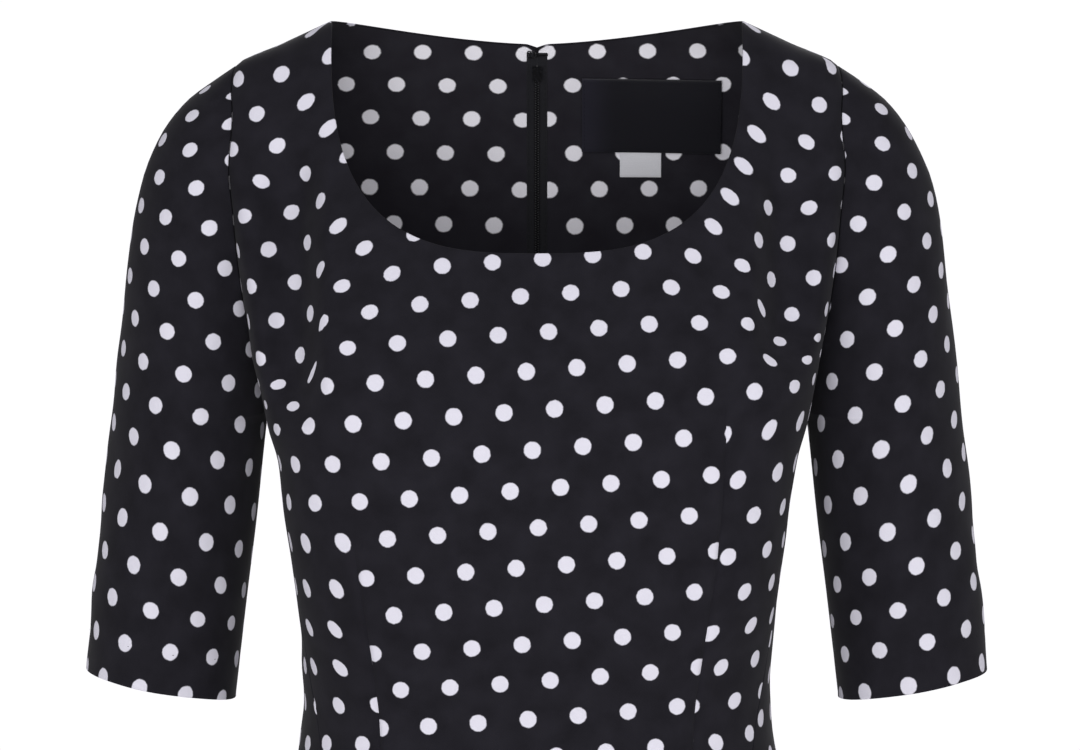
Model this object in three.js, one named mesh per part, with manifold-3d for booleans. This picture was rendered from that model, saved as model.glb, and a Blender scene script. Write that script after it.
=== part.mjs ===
// Pencil dress with a wide scoop neck, elbow sleeves, waist darts and a centre back zip.
// Millimetres, +Z up. The front faces -Y, and the wearer's left side is +X.
// The origin lies midway between the two points where the shoulder seams meet the neck.
// A drop is a distance below those points. An angle is measured round the body from the
// centre front (0) through the wearer's left side (90 degrees) to the centre back (180).

import * as THREE from 'three';
import { mergeVertices } from 'three/addons/utils/BufferGeometryUtils.js';
import Module from 'manifold-3d';

// ---- driving sizes ----

const WALL = 1.5; // cloth with its seam turnings
const SEAM_GAP = 0.3; // between sewn pieces
const ARMHOLE_GAP = 0.5; // the same, where two faceted curves meet
const HEM_DROP = 1040;
const HALF_TURN = Math.PI;
const QUARTER_TURN = Math.PI / 2;

// Level sections of the body. front and back are how far the cloth stands out at the centre
// lines from the side line, which lies at y = side. The corner powers are those of a
// superellipse: 2 is an ellipse, and more is squarer.
const BODY = [
  { drop: 0, halfWidth: 121.5, side: 8, front: 30, back: 50, frontCorner: 3, backCorner: 2.2 },
  { drop: 13, halfWidth: 149.5, side: 8, front: 35, back: 56, frontCorner: 3.2, backCorner: 2.3 },
  { drop: 26, halfWidth: 177, side: 8, front: 40, back: 63, frontCorner: 3.4, backCorner: 2.4 },
  { drop: 44, halfWidth: 184, side: 8, front: 49, back: 73, frontCorner: 3.7, backCorner: 2.5 },
  { drop: 75, halfWidth: 186, side: 8, front: 66, back: 89, frontCorner: 4, backCorner: 2.7 },
  { drop: 111, halfWidth: 180, side: 8, front: 90, back: 102, frontCorner: 4.2, backCorner: 2.8 },
  { drop: 158, halfWidth: 172.5, side: 7, front: 116, back: 114, frontCorner: 4.8, backCorner: 2.9 },
  { drop: 190, halfWidth: 166.5, side: 6, front: 129, back: 117, frontCorner: 5, backCorner: 2.8 },
  { drop: 230, halfWidth: 158.5, side: 5, front: 135, back: 119, frontCorner: 5, backCorner: 2.7 },
  { drop: 252, halfWidth: 152.5, side: 4, front: 134, back: 117, frontCorner: 5, backCorner: 2.6 },
  { drop: 294, halfWidth: 147, side: 3, front: 129, back: 109, frontCorner: 4.6, backCorner: 2.5 },
  { drop: 341, halfWidth: 141, side: 1, front: 122, back: 94, frontCorner: 4, backCorner: 2.4 },
  { drop: 370, halfWidth: 138.5, side: 0, front: 117, back: 86, frontCorner: 3.5, backCorner: 2.4 },
  { drop: 400, halfWidth: 138, side: -2, front: 110, back: 82, frontCorner: 3.1, backCorner: 2.3 },
  { drop: 430, halfWidth: 141.5, side: -2, front: 110, back: 87, frontCorner: 2.8, backCorner: 2.3 },
  { drop: 480, halfWidth: 153, side: -1, front: 114, back: 101, frontCorner: 2.6, backCorner: 2.3 },
  { drop: 540, halfWidth: 168, side: 0, front: 119, back: 118, frontCorner: 2.5, backCorner: 2.3 },
  { drop: 600, halfWidth: 177, side: 0, front: 120, back: 127, frontCorner: 2.5, backCorner: 2.3 },
  { drop: 680, halfWidth: 178, side: 0, front: 118, back: 125, frontCorner: 2.5, backCorner: 2.3 },
  { drop: 800, halfWidth: 169, side: 0, front: 115, back: 115, frontCorner: 2.4, backCorner: 2.3 },
  { drop: 920, halfWidth: 158, side: 0, front: 113, back: 109, frontCorner: 2.4, backCorner: 2.3 },
  { drop: 1040, halfWidth: 149, side: 0, front: 112, back: 107, frontCorner: 2.4, backCorner: 2.3 },
];

// The side seams swing forward below the underarm.
const SIDE_SEAM = [
  { drop: 230, degrees: 90 },
  { drop: 300, degrees: 77 },
  { drop: 353, degrees: 67 },
  { drop: 395, degrees: 64 },
  { drop: 430, degrees: 61 },
  { drop: 520, degrees: 60 },
  { drop: 700, degrees: 64 },
  { drop: 1040, degrees: 72 },
];

// The scoop seen from the front, and the shallow curve of the back neck.
const FRONT_NECK = { halfWidth: 120.5, depth: 128, corner: 3 };
const BACK_NECK = { halfWidth: 117, topDrop: 1, depth: 15.8, curve: 1.6 };

// The armhole is an oval seen from the side, from the shoulder tip to the underarm.
const ARMHOLE = { middleDrop: 128, halfHeight: 102, front: 46, back: 56 };

// Beside the bust the cloth steps back towards the armhole. Each step runs down from top to
// bottom, starts at inside and is full at outside, and eases out again up to the armhole.
const STEP_END = { fromOutside: 5, fromEdge: 2 }; // where the easing out starts and ends
const CHEST_STEPS = [
  { side: 1, top: 62, full: 115, ease: 165, bottom: 208, inside: 122, outside: 142, depth: 22 },
  { side: -1, top: 55, full: 108, ease: 190, bottom: 238, inside: 120, outside: 140, depth: 25 },
];

// Darts, seen from the front or the back: out is the distance from the centre line.
const DART_WIDTH = 5;
const DART_DEPTH = 1.4;
const DART_TAPER = 60; // at each end
const FRONT_DART = [
  { drop: 236, out: 109 },
  { drop: 300, out: 105 },
  { drop: 350, out: 98 },
  { drop: 400, out: 92 },
  { drop: 520, out: 88 },
];
const BACK_DART = [
  { drop: 255, out: 84 },
  { drop: 400, out: 78 },
  { drop: 540, out: 76 },
];

// Sleeve sections below the underarm, and the outer line of the whole sleeve. centre is the
// y of the sleeve's middle, and halfDepth reaches from there to its front and its back.
const SLEEVE_OUTER = [
  { drop: 26, out: 177 },
  { drop: 34, out: 189 },
  { drop: 46, out: 205.5 },
  { drop: 58, out: 216 },
  { drop: 70, out: 223 },
  { drop: 93, out: 232 },
  { drop: 129, out: 239.5 },
  { drop: 176, out: 245 },
  { drop: 230, out: 251 },
  { drop: 294, out: 258.5 },
  { drop: 341, out: 264 },
  { drop: 392, out: 268.5 },
];
const SLEEVE_INNER = [
  { drop: 230, out: 159 },
  { drop: 252, out: 161.5 },
  { drop: 294, out: 166 },
  { drop: 341, out: 172 },
  { drop: 400, out: 179 },
];
const SLEEVE_MIDDLE = [
  { drop: 26, centre: 8 },
  { drop: 230, centre: 6 },
  { drop: 400, centre: 13 },
];
const SLEEVE_HALF_DEPTH = [
  { drop: 230, reach: 61 },
  { drop: 300, reach: 57 },
  { drop: 400, reach: 48 },
];
const CAP_FULLNESS = 1.3; // how late the cap fills out behind and before the armhole
const TIP_NORMAL = { x: 0.45, z: 0.89 }; // of the cloth at the shoulder tip

// The hem's drop round the sleeve. It hangs lower inside than outside, and dips at the front
// and again between the front and the inner seam. The back dips by half as much.
const SLEEVE_HEM = { drop: 391, outerRise: 4.3, frontDip: 3, innerDip: 3.5, backShare: 0.5 };

// Trims inside the back.
const PATCH_GAP = 0.6; // between a trim and the flats of the faceted cloth behind it
const ROW_CLEARANCE = 2; // between a trim's end and the nearest row of the cloth that it follows
const ZIP = { top: 27, bottom: 570, inside: 0.9, outside: 6.2, thickness: 1 };
const SLIDER = { drop: 33, halfWidth: 2.7, length: 9, thickness: 2.4 };
const BRIDGE = { halfThickness: 0.5, length: 5, innerRadius: 1.2, outerRadius: 2.1, standOff: 2.4 };
const BRIDGE_ROOT = 0.5; // how far the bridge is let into the slider's body
const PULL_TAB = { length: 24, halfWidth: 2.6, endHalfWidth: 3.2, thickness: 1, barRadius: 0.7 };
const TAB_WAIST = { widthShare: 0.8, lengthShare: 0.3 }; // the tab's narrowest place
const TAB_WINDOW = { length: 2.7, clearance: 0.45 }; // round the slider's bridge
const LABEL = { top: 39, bottom: 87, inside: 27, outside: 111, sag: 3, thickness: 1 };
const SIZE_TAB = { top: 76, bottom: 101, inside: 50, outside: 75, thickness: 1 };
const VENT = { top: 850, bottom: 1038, overlap: 36, hold: 9, thickness: 1.5 };
const EYE = { drop: 22.5, out: -2.6, radius: 2.1, wire: 0.4, footRadius: 0.9 };
const HOOK = { thickness: 0.6, width: 1.5, length: 6.2, tip: 1, clearance: 0.4 };

// ---- materials ----

const dottedCloth = () => new THREE.MeshStandardMaterial({ color: '#25242b', roughness: 0.85, metalness: 0 });
const zipTape = () => new THREE.MeshStandardMaterial({ color: '#131317', roughness: 0.8, metalness: 0 });
const blackMetal = () => new THREE.MeshStandardMaterial({ color: '#1b1b1e', roughness: 0.45, metalness: 0.8 });
const labelSatin = () => new THREE.MeshStandardMaterial({ color: '#1d1f2b', roughness: 0.5, metalness: 0 });
const whiteTape = () => new THREE.MeshStandardMaterial({ color: '#dcdce2', roughness: 0.8, metalness: 0 });

// ---- smooth tables ----

// A cubic through a table's rows that never overshoots them, held level past its ends.
function track(rows, column) {
  const count = rows.length;
  const rate = [];
  for (let i = 0; i < count - 1; i += 1) {
    rate.push((rows[i + 1][column] - rows[i][column]) / (rows[i + 1].drop - rows[i].drop));
  }
  const slope = rows.map((row, i) => {
    if (i === 0) return rate[0];
    if (i === count - 1) return rate[count - 2];
    const turns = rate[i - 1] * rate[i] <= 0;
    return turns ? 0 : (2 * rate[i - 1] * rate[i]) / (rate[i - 1] + rate[i]);
  });
  return (drop) => {
    if (drop <= rows[0].drop) return rows[0][column];
    if (drop >= rows[count - 1].drop) return rows[count - 1][column];
    const i = rows.findIndex((row) => row.drop >= drop) - 1;
    const span = rows[i + 1].drop - rows[i].drop;
    const t = (drop - rows[i].drop) / span;
    const s = 1 - t;
    const ends = rows[i][column] * (1 + 2 * t) * s * s + rows[i + 1][column] * (3 - 2 * t) * t * t;
    return ends + span * (slope[i] * t * s * s - slope[i + 1] * t * t * s);
  };
}

function ramp(value, from, to) {
  const t = Math.min(1, Math.max(0, (value - from) / (to - from)));
  return t * t * (3 - 2 * t);
}

function evenly(from, to, count) {
  return Array.from({ length: count + 1 }, (_, i) => from + ((to - from) * i) / count);
}

// ---- the body's surface ----

const halfWidthAt = track(BODY, 'halfWidth');
const sideAt = track(BODY, 'side');
const frontAt = track(BODY, 'front');
const backAt = track(BODY, 'back');
const frontCornerAt = track(BODY, 'frontCorner');
const backCornerAt = track(BODY, 'backCorner');
const sideSeamAt = track(SIDE_SEAM, 'degrees');
const frontDartAt = track(FRONT_DART, 'out');
const backDartAt = track(BACK_DART, 'out');

function sectionAt(drop, isFront) {
  return {
    width: halfWidthAt(drop),
    depth: isFront ? frontAt(drop) : backAt(drop),
    corner: isFront ? frontCornerAt(drop) : backCornerAt(drop),
  };
}

// How far forward or back of the side line the section lies at a distance from the centre.
function depthAtOut(out, section) {
  const share = Math.min(1, out / section.width) ** section.corner;
  return section.depth * (1 - share) ** (1 / section.corner);
}

function outAtDepth(depth, section) {
  const share = Math.min(1, depth / section.depth) ** section.corner;
  return section.width * (1 - share) ** (1 / section.corner);
}

function chestStep(x, drop) {
  const step = CHEST_STEPS.find((row) => row.side === Math.sign(x));
  if (!step) return 0;
  const along = ramp(drop, step.top, step.full) * (1 - ramp(drop, step.ease, step.bottom));
  const out = Math.abs(x);
  const easeStart = step.outside + STEP_END.fromOutside;
  const easeEnd = halfWidthAt(drop) - STEP_END.fromEdge;
  const across = ramp(out, step.inside, step.outside) * (1 - ramp(out, easeStart, easeEnd));
  return step.depth * along * across;
}

function dartCrease(x, drop, isFront) {
  const rows = isFront ? FRONT_DART : BACK_DART;
  const top = rows[0].drop;
  const bottom = rows[rows.length - 1].drop;
  const along = ramp(drop, top, top + DART_TAPER) * (1 - ramp(drop, bottom - DART_TAPER, bottom));
  const off = Math.abs(Math.abs(x) - (isFront ? frontDartAt(drop) : backDartAt(drop)));
  return DART_DEPTH * along * (1 - ramp(off, 0, DART_WIDTH));
}

function bodyPoint(angle, drop) {
  const isFront = Math.abs(angle) <= QUARTER_TURN;
  const section = sectionAt(drop, isFront);
  const acrossShare = Math.abs(Math.sin(angle)) / section.width;
  const alongShare = Math.abs(Math.cos(angle)) / section.depth;
  const reach = (acrossShare ** section.corner + alongShare ** section.corner) ** (-1 / section.corner);
  const x = reach * Math.sin(angle);
  const inward = dartCrease(x, drop, isFront) + (isFront ? chestStep(x, drop) : 0);
  const y = sideAt(drop) - reach * Math.cos(angle) + (isFront ? inward : -inward);
  return new THREE.Vector3(x, y, -drop);
}

function bodyNormal(angle, drop) {
  const turn = 0.004;
  const fall = 0.6;
  const low = Math.max(0.01, drop - fall);
  const across = bodyPoint(angle + turn, drop).sub(bodyPoint(angle - turn, drop));
  const down = bodyPoint(angle, drop + fall).sub(bodyPoint(angle, low));
  return across.cross(down).negate().normalize();
}

// ---- edges of the body panels, as angles on one side of the body ----

function frontNeckAngle(drop) {
  const { halfWidth, depth, corner } = FRONT_NECK;
  if (drop >= depth) return 0;
  const out = halfWidth * (1 - (drop / depth) ** corner) ** (1 / corner);
  return Math.atan2(out, depthAtOut(out, sectionAt(drop, true)));
}

function backNeckAngle(drop) {
  const { halfWidth, topDrop, depth, curve } = BACK_NECK;
  const share = Math.min(1, Math.max(0, 1 - (drop - topDrop) / depth));
  const out = halfWidth * share ** (1 / curve);
  return HALF_TURN - Math.atan2(out, depthAtOut(out, sectionAt(drop, false)));
}

function armholeReach(drop, isFront, grow) {
  const rise = (ARMHOLE.middleDrop - drop) / (ARMHOLE.halfHeight + grow);
  const reach = (isFront ? ARMHOLE.front : ARMHOLE.back) + grow;
  return reach * Math.sqrt(Math.max(0, 1 - rise * rise));
}

function outerAngle(drop, isFront) {
  const top = ARMHOLE.middleDrop - ARMHOLE.halfHeight;
  const bottom = ARMHOLE.middleDrop + ARMHOLE.halfHeight;
  if (drop <= top) return QUARTER_TURN;
  if (drop >= bottom) return THREE.MathUtils.degToRad(sideSeamAt(drop));
  const reach = armholeReach(drop, isFront, SEAM_GAP / 2);
  const angle = Math.atan2(outAtDepth(reach, sectionAt(drop, isFront)), reach);
  return isFront ? angle : HALF_TURN - angle;
}

// Points at even steps of cloth between two angles of one level section. A gap is left at
// each end, of at most a fifth of the row.
function rowOfPoints(drop, ends, side, count, gaps) {
  const fine = 48;
  const angles = evenly(ends[0], ends[1], fine);
  const points = angles.map((angle) => bodyPoint(side * angle, drop));
  const lengths = [0];
  for (let i = 1; i <= fine; i += 1) {
    lengths.push(lengths[i - 1] + points[i].distanceTo(points[i - 1]));
  }
  const whole = lengths[fine];
  const [inner, outer] = gaps.map((gap) => Math.min(gap, whole / 5));
  return evenly(inner, whole - outer, count).map((length) => {
    const i = Math.min(fine, Math.max(1, lengths.findIndex((value) => value >= length)));
    const t = (length - lengths[i - 1]) / (lengths[i] - lengths[i - 1] || 1);
    const angle = side * (angles[i - 1] + (angles[i] - angles[i - 1]) * t);
    return { point: bodyPoint(angle, drop), normal: bodyNormal(angle, drop) };
  });
}

// ---- closed solids from sheets of points ----

// A grid is a list of rows of { point, normal }. Grids share the points where they meet.
// Each solid lies between two offsets from its points, measured inward.
function sheetSolid(grids, outerOffset, innerOffset) {
  const keys = new Map();
  const sheet = [];
  const indexOf = ({ point, normal }) => {
    const key = [point.x, point.y, point.z].map((value) => Math.round(value * 1000)).join();
    if (!keys.has(key)) {
      keys.set(key, sheet.length);
      sheet.push({ point, normal });
    }
    return keys.get(key);
  };
  const triangles = [];
  const addTriangle = (a, b, c) => {
    if (a !== b && b !== c && c !== a) triangles.push([a, b, c]);
  };
  grids.forEach(({ rows, flip }) => {
    for (let j = 0; j < rows.length - 1; j += 1) {
      for (let i = 0; i < rows[j].length - 1; i += 1) {
        const [a, b] = [indexOf(rows[j][i]), indexOf(rows[j][i + 1])];
        const [d, c] = [indexOf(rows[j + 1][i]), indexOf(rows[j + 1][i + 1])];
        const corners = flip ? [a, b, c, d] : [a, d, c, b];
        addTriangle(corners[0], corners[1], corners[2]);
        addTriangle(corners[0], corners[2], corners[3]);
      }
    }
  });
  return thicken(sheet, triangles, outerOffset, innerOffset);
}

function thicken(sheet, triangles, outerOffset, innerOffset) {
  const count = sheet.length;
  const positions = [];
  [outerOffset, innerOffset].forEach((offset) => {
    sheet.forEach(({ point, normal }) => {
      positions.push(...point.clone().addScaledVector(normal, -offset).toArray());
    });
  });
  const indices = [];
  const edges = new Map();
  triangles.forEach(([a, b, c]) => {
    indices.push(a, b, c, a + count, c + count, b + count);
    [[a, b], [b, c], [c, a]].forEach(([from, to]) => {
      edges.set(`${from},${to}`, [from, to]);
    });
  });
  edges.forEach(([from, to]) => {
    if (edges.has(`${to},${from}`)) return;
    indices.push(from, from + count, to + count, from, to + count, to);
  });
  const geometry = new THREE.BufferGeometry();
  geometry.setAttribute('position', new THREE.Float32BufferAttribute(positions, 3));
  geometry.setIndex(indices);
  return geometry;
}

function sub(name, geometry, material) {
  const mesh = new THREE.Mesh(geometry, material);
  mesh.name = name;
  return mesh;
}

// ---- joins and cuts ----

const wasm = await Module();
wasm.setup();

function toSolid(geometry) {
  const bare = geometry.clone();
  bare.deleteAttribute('normal');
  bare.deleteAttribute('uv');
  const merged = mergeVertices(bare, 1e-4);
  const mesh = new wasm.Mesh({
    numProp: 3,
    vertProperties: new Float32Array(merged.attributes.position.array),
    triVerts: new Uint32Array(merged.index.array),
  });
  mesh.merge();
  return new wasm.Manifold(mesh);
}

function toGeometry(solid) {
  const mesh = solid.getMesh();
  const geometry = new THREE.BufferGeometry();
  geometry.setAttribute('position', new THREE.BufferAttribute(new Float32Array(mesh.vertProperties), 3));
  geometry.setIndex(new THREE.BufferAttribute(new Uint32Array(mesh.triVerts), 1));
  return geometry;
}

function join(geometries) {
  return toGeometry(geometries.map(toSolid).reduce((whole, piece) => whole.add(piece)));
}

function cut(geometry, tool) {
  return toGeometry(toSolid(geometry).subtract(toSolid(tool)));
}

// ---- drops of the rows ----

const ARMHOLE_TOP = ARMHOLE.middleDrop - ARMHOLE.halfHeight;
const ARMHOLE_BOTTOM = ARMHOLE.middleDrop + ARMHOLE.halfHeight;
const SKIRT_DROPS = [252, 282, 315, 355, 400, 445, 500, 570, 640, 740, 850, 945, HEM_DROP];
const LOWER_ARMHOLE = evenly(0, 90, 5).slice(1).map((degrees) => {
  return ARMHOLE.middleDrop + ARMHOLE.halfHeight * Math.sin(THREE.MathUtils.degToRad(degrees));
});

function frontDrops() {
  const neck = evenly(12, 90, 6).map((degrees) => {
    return FRONT_NECK.depth * Math.sin(THREE.MathUtils.degToRad(degrees)) ** (2 / FRONT_NECK.corner);
  });
  return [0, 9, 18, ARMHOLE_TOP, ARMHOLE_TOP + 3, ARMHOLE_TOP + 9, ...neck, ...LOWER_ARMHOLE, ...SKIRT_DROPS];
}

function backDrops() {
  const base = BACK_NECK.topDrop + BACK_NECK.depth;
  const neck = [1, 0.78, 0.52, 0.28, 0.1, 0].map((share) => base - BACK_NECK.depth * share);
  const upper = [ARMHOLE_TOP, ARMHOLE_TOP + 3, ARMHOLE_TOP + 9, 50, 75, 102];
  return [...neck, ...upper, ARMHOLE.middleDrop, ...LOWER_ARMHOLE, ...SKIRT_DROPS];
}

// ---- body panels ----

function frontPanel() {
  const columns = 15;
  const halfRows = (side) => frontDrops().map((drop) => {
    const onArmhole = drop > ARMHOLE_TOP && drop < ARMHOLE_BOTTOM;
    const inset = onArmhole ? 0 : SEAM_GAP / 2;
    const ends = [frontNeckAngle(drop), outerAngle(drop, true)];
    return rowOfPoints(drop, ends, side, columns, [0, inset]);
  });
  const halves = [1, -1].map((side) => ({ rows: halfRows(side), flip: side < 0 }));
  return sub('front', sheetSolid(halves, 0, WALL), dottedCloth());
}

function sliderSlot() {
  const through = 40;
  const slot = new THREE.BoxGeometry(2 * (BRIDGE.halfThickness + SEAM_GAP), through, SLIDER.length + 2);
  slot.translate(0, bodyPoint(HALF_TURN, SLIDER.drop).y, -SLIDER.drop);
  return slot;
}

function backPanel(name, side) {
  const columns = 10;
  const rows = backDrops().map((drop) => {
    const onArmhole = drop > ARMHOLE_TOP && drop < ARMHOLE_BOTTOM;
    const inset = onArmhole ? 0 : SEAM_GAP / 2;
    const onNeck = drop < BACK_NECK.topDrop + BACK_NECK.depth;
    const centreInset = onNeck ? 0 : SEAM_GAP / 2;
    const ends = [backNeckAngle(drop), outerAngle(drop, false)];
    return rowOfPoints(drop, ends, side, columns, [centreInset, inset]);
  });
  const panel = sheetSolid([{ rows, flip: side > 0 }], 0, WALL);
  return sub(name, cut(panel, sliderSlot()), dottedCloth());
}

// ---- patches that lie inside the back ----

// Places on the back by distance from the centre line and drop.
function backPlace(out, drop) {
  const section = sectionAt(drop, false);
  const side = out < 0 ? -1 : 1;
  const angle = side * (HALF_TURN - Math.atan2(side * out, depthAtOut(side * out, section)));
  return { point: bodyPoint(angle, drop), normal: bodyNormal(angle, drop) };
}

// The panel's own rows between two drops, so that a patch bends where the panel bends.
function patchDrops(top, bottom) {
  const between = backDrops().filter((drop) => {
    return drop > top + ROW_CLEARANCE && drop < bottom - ROW_CLEARANCE;
  });
  return [top, ...between, bottom];
}

function backPatch(outs, drops, gap, thickness, sag = 0) {
  const middle = (outs[0] + outs[outs.length - 1]) / 2;
  const half = Math.abs(outs[outs.length - 1] - outs[0]) / 2;
  const rows = drops.map((drop) => outs.map((out) => {
    const lowered = drop + sag * ((out - middle) / half);
    return backPlace(out, lowered);
  }));
  const flip = outs[outs.length - 1] > outs[0];
  return sheetSolid([{ rows, flip }], WALL + gap, WALL + gap + thickness);
}

function zipTapeStrip(name, side) {
  const outs = [ZIP.inside, ZIP.outside].map((out) => side * out);
  const geometry = backPatch(outs, patchDrops(ZIP.top, ZIP.bottom), PATCH_GAP, ZIP.thickness);
  return sub(name, geometry, zipTape());
}

function neckLabel() {
  const outs = evenly(LABEL.inside, LABEL.outside, 8);
  const gap = PATCH_GAP + SIZE_TAB.thickness + 2 * SEAM_GAP;
  const geometry = backPatch(outs, evenly(LABEL.top, LABEL.bottom, 4), gap, LABEL.thickness, LABEL.sag);
  return sub('neck_label', geometry, labelSatin());
}

function sizeTab() {
  const outs = evenly(SIZE_TAB.inside, SIZE_TAB.outside, 2);
  const drops = evenly(SIZE_TAB.top, SIZE_TAB.bottom, 2);
  const geometry = backPatch(outs, drops, 1.5 * PATCH_GAP, SIZE_TAB.thickness);
  return sub('size_tab', geometry, whiteTape());
}

function ventUnderlap() {
  const outs = evenly(-VENT.hold, VENT.overlap, 4);
  const geometry = backPatch(outs, patchDrops(VENT.top, VENT.bottom), PATCH_GAP, VENT.thickness);
  return sub('vent_underlap', geometry, dottedCloth());
}

// ---- sleeves ----

const sleeveOuterAt = track(SLEEVE_OUTER, 'out');
const sleeveInnerAt = track(SLEEVE_INNER, 'out');
const sleeveMiddleAt = track(SLEEVE_MIDDLE, 'centre');
const sleeveHalfDepthAt = track(SLEEVE_HALF_DEPTH, 'reach');

// A level section of the sleeve is two half ellipses, front and back, from the outer line
// round to the armhole, or to the inner line below the underarm.
function sleeveHalf(drop, isFront) {
  const outer = sleeveOuterAt(drop);
  if (drop >= ARMHOLE_BOTTOM) {
    const half = (outer - sleeveInnerAt(drop)) / 2;
    return { centre: outer - half, half, depth: sleeveHalfDepthAt(drop), end: HALF_TURN };
  }
  const armhole = armholeReach(drop, isFront, -ARMHOLE_GAP);
  const edge = outAtDepth(armhole, sectionAt(drop, isFront)) + ARMHOLE_GAP;
  const fallen = (drop - ARMHOLE_TOP) / (2 * ARMHOLE.halfHeight);
  const fill = sleeveHalfDepthAt(drop) * fallen ** CAP_FULLNESS;
  const depth = Math.hypot(armhole, fill);
  const turned = fill / depth;
  const centre = (edge + turned * outer) / (1 + turned);
  return { centre, half: outer - centre, depth, end: Math.acos(-turned) };
}

// place runs from -1 at the front edge through 0 on the outer line to 1 at the back edge.
function sleevePoint(place, drop) {
  const isFront = place < 0;
  const section = sleeveHalf(drop, isFront);
  const angle = section.end * Math.abs(place);
  const x = section.centre + section.half * Math.cos(angle);
  const y = sleeveMiddleAt(drop) + Math.sign(place) * section.depth * Math.sin(angle);
  return new THREE.Vector3(x, y, -drop);
}

function sleeveHemDrop(place) {
  const angle = HALF_TURN * place;
  const { drop, outerRise, frontDip, innerDip, backShare } = SLEEVE_HEM;
  const innerWave = Math.min(0, Math.sin(2 * angle) * Math.sign(place));
  const dip = innerDip * innerWave - frontDip * Math.sin(angle);
  return drop - outerRise * Math.cos(angle) + (place < 0 ? dip : dip * backShare);
}

function sleeveRows(columns) {
  const cap = evenly(0, 180, 12).slice(0, -1).map((degrees) => {
    const radians = THREE.MathUtils.degToRad(degrees);
    return ARMHOLE.middleDrop - (ARMHOLE.halfHeight - ARMHOLE_GAP) * Math.cos(radians);
  });
  const places = evenly(-1, 1, columns);
  const capRows = cap.map((drop, i) => places.map((place) => sleevePoint(i === 0 ? 0 : place, drop)));
  const armRows = evenly(0, 1, 5).map((share) => places.map((place) => {
    const drop = ARMHOLE_BOTTOM + (sleeveHemDrop(place) - ARMHOLE_BOTTOM) * share;
    return sleevePoint(place, drop);
  }));
  return [...capRows, ...armRows];
}

// Normals of the sleeve's grid, from each point's neighbours. The first row is one point, at
// the shoulder tip, and the rows below the cap close on themselves.
function withNormals(points, side) {
  const last = points.length - 1;
  const end = points[0].length - 1;
  return points.map((row, j) => row.map((point, i) => {
    const closed = row[0].distanceTo(row[end]) < 1e-6 && j > 0;
    const level = j === 0 ? points[1] : row;
    const before = level[closed && i === 0 ? end - 1 : Math.max(0, i - 1)];
    const after = level[closed && i === end ? 1 : Math.min(end, i + 1)];
    const down = points[Math.min(last, j + 1)][i].clone().sub(points[Math.max(0, j - 1)][i]);
    const normal = after.clone().sub(before).cross(down).negate().normalize();
    if (j === 0) normal.set(TIP_NORMAL.x, 0, TIP_NORMAL.z).normalize();
    return { point: side < 0 ? mirrored(point) : point, normal: side < 0 ? mirrored(normal) : normal };
  }));
}

function mirrored(vector) {
  return new THREE.Vector3(-vector.x, vector.y, vector.z);
}

function sleeve(name, side) {
  const rows = withNormals(sleeveRows(18), side);
  return sub(name, sheetSolid([{ rows, flip: side < 0 }], 0, WALL), dottedCloth());
}

// ---- zip slider, pull tab, hook and eye ----

// A frame on the centre back line: +Y points out of the cloth and -Z down along it.
function centreBackFrame(drop) {
  const frame = new THREE.Group();
  const normal = bodyNormal(HALF_TURN, drop);
  frame.position.copy(bodyPoint(HALF_TURN, drop));
  frame.rotation.x = Math.atan2(normal.z, normal.y);
  return frame;
}

function block(halfWidth, near, far, low, high) {
  const box = new THREE.BoxGeometry(2 * halfWidth, far - near, high - low);
  return box.translate(0, (near + far) / 2, (low + high) / 2);
}

// A rod along X.
function rod(radius, halfLength) {
  return new THREE.CylinderGeometry(radius, radius, 2 * halfLength, 16).rotateZ(QUARTER_TURN);
}

function zipSlider() {
  const { halfThickness, length, innerRadius, outerRadius, standOff } = BRIDGE;
  const top = -(WALL + PATCH_GAP + ZIP.thickness + SEAM_GAP);
  const body = block(SLIDER.halfWidth, top - SLIDER.thickness, top, -SLIDER.length / 2, SLIDER.length / 2);
  const neck = block(halfThickness, top - BRIDGE_ROOT, standOff - innerRadius, -length / 2, length / 2);
  const ring = rod(outerRadius, halfThickness).translate(0, standOff, 0);
  const eye = rod(innerRadius, 2 * halfThickness).translate(0, standOff, 0);
  return sub('zip_slider', cut(join([body, neck, ring]), eye), blackMetal());
}

function pullTab() {
  const { length, halfWidth, endHalfWidth, thickness, barRadius } = PULL_TAB;
  const waist = { out: halfWidth * TAB_WAIST.widthShare, down: length * TAB_WAIST.lengthShare };
  const outline = new THREE.Shape();
  outline.moveTo(-halfWidth, 0);
  outline.lineTo(-waist.out, -waist.down);
  outline.lineTo(-endHalfWidth, endHalfWidth - length);
  outline.absarc(0, endHalfWidth - length, endHalfWidth, HALF_TURN, 2 * HALF_TURN, false);
  outline.lineTo(waist.out, -waist.down);
  outline.lineTo(halfWidth, 0);
  const plateForm = { depth: thickness, bevelEnabled: false, curveSegments: 10 };
  const plate = new THREE.ExtrudeGeometry(outline, plateForm);
  plate.translate(0, 0, -thickness / 2).rotateX(QUARTER_TURN);
  const openingHalf = BRIDGE.halfThickness + TAB_WINDOW.clearance;
  const opening = block(openingHalf, -thickness, thickness, -TAB_WINDOW.length, thickness);
  const bar = rod(barRadius, halfWidth);
  const tab = sub('pull_tab', join([cut(plate, opening), bar]), blackMetal());
  tab.position.y = BRIDGE.standOff;
  return tab;
}

function ringAt(radius, out, height) {
  const ring = new THREE.TorusGeometry(radius, EYE.wire, 6, 14).rotateX(QUARTER_TURN);
  return ring.translate(out, -(WALL + SEAM_GAP + EYE.wire), height);
}

function eyeLoop() {
  const feet = [1, -1].map((side) => {
    return ringAt(EYE.footRadius, EYE.out - EYE.radius, side * (EYE.radius - EYE.footRadius / 2));
  });
  return sub('eye', join([ringAt(EYE.radius, EYE.out, 0), ...feet]), blackMetal());
}

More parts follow.
